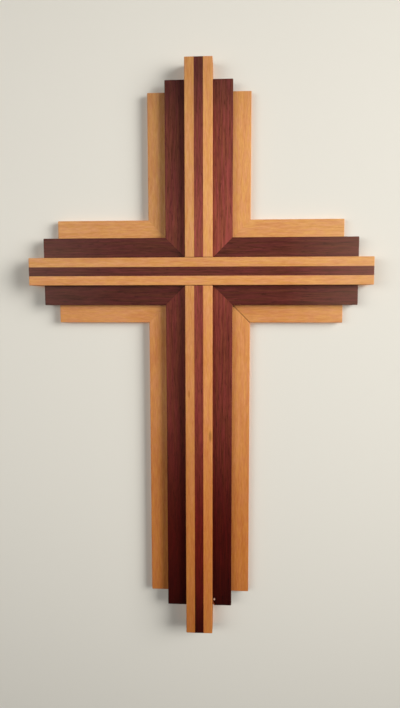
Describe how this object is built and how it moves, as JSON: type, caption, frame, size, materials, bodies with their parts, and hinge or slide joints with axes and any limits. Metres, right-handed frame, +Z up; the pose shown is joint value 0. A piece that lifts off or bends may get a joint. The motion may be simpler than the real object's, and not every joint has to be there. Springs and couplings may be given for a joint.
{
  "type": "wall cross",
  "caption": "Flat laminated wooden wall cross in two woods, with mitred corner strips that step down in thickness from the raised centre bars.",
  "frame": {"origin": "on the flat back, behind the point where the centre lines of the upright and the crossbar meet", "axes": "+Z up along the upright, +X to the right seen from the front, +Y into the wall; the front faces -Y"},
  "size_m": [0.359, 0.0191, 0.6096],
  "materials": {
    "light_wood": "satin oil",
    "dark_wood": "satin oil"
  },
  "bodies": {
    "root": {"upright_core": "dark_wood", "upright_edge_left": "light_wood", "upright_edge_right": "light_wood", "crossbar_core": "dark_wood", "crossbar_edge_upper": "light_wood", "crossbar_edge_lower": "light_wood", "inner_stile_upper_left": "dark_wood", "inner_rail_upper_left": "dark_wood", "inner_stile_upper_right": "dark_wood", "inner_rail_upper_right": "dark_wood", "inner_stile_lower_left": "dark_wood", "inner_rail_lower_left": "dark_wood", "inner_stile_lower_right": "dark_wood", "inner_rail_lower_right": "dark_wood", "outer_stile_upper_left": "light_wood", "outer_rail_upper_left": "light_wood", "outer_stile_upper_right": "light_wood", "outer_rail_upper_right": "light_wood", "outer_stile_lower_left": "light_wood", "outer_rail_lower_left": "light_wood", "outer_stile_lower_right": "light_wood", "outer_rail_lower_right": "light_wood"}
  },
  "joints": []
}
